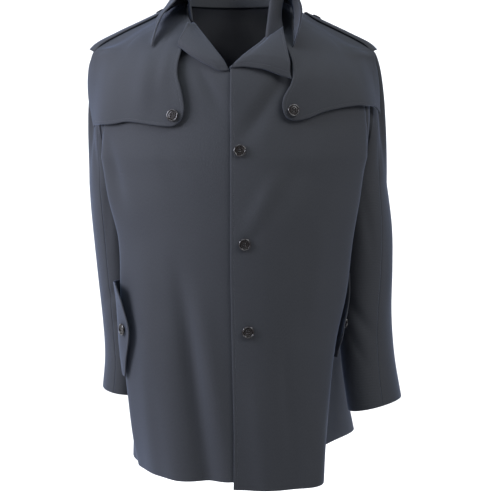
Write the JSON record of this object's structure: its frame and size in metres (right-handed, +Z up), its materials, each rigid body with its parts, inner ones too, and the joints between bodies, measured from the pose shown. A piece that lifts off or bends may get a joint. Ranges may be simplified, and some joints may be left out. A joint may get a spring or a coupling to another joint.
{
  "type": "overcoat",
  "caption": "Short single-breasted overcoat with folded collar, open lapels, storm flaps, shoulder straps and pocket flaps, in the hollow form it keeps when worn",
  "frame": {"origin": "the middle of the shoulder line at the height of the neck points, where the wearer's shoulders carry the coat", "axes": "the front faces -Y, +X is the wearer's left side, +Z is up"},
  "size_m": [0.5507, 0.3786, 0.8539],
  "materials": {
    "navy_twill": "matt fine twill with a slight sheen",
    "dark_button": "polished"
  },
  "bodies": {
    "root": {"front_right": "navy_twill", "front_left": "navy_twill", "back": "navy_twill", "under_sleeve_right": "navy_twill", "top_sleeve_right": "navy_twill", "under_sleeve_left": "navy_twill", "top_sleeve_left": "navy_twill", "storm_flap_right": "navy_twill", "storm_flap_left": "navy_twill", "shoulder_strap_right": "navy_twill", "shoulder_strap_left": "navy_twill", "pocket_flap_right": "navy_twill", "pocket_flap_left": "navy_twill", "lapel_right": "navy_twill", "lapel_left": "navy_twill", "collar_stand": "navy_twill", "collar_leaf": "navy_twill", "front_button_1": "dark_button", "front_button_2": "dark_button", "front_button_3": "dark_button", "storm_button_right": "dark_button", "storm_button_left": "dark_button", "pocket_button_right": "dark_button", "pocket_button_left": "dark_button", "strap_button_right": "dark_button", "strap_button_left": "dark_button"}
  },
  "joints": []
}
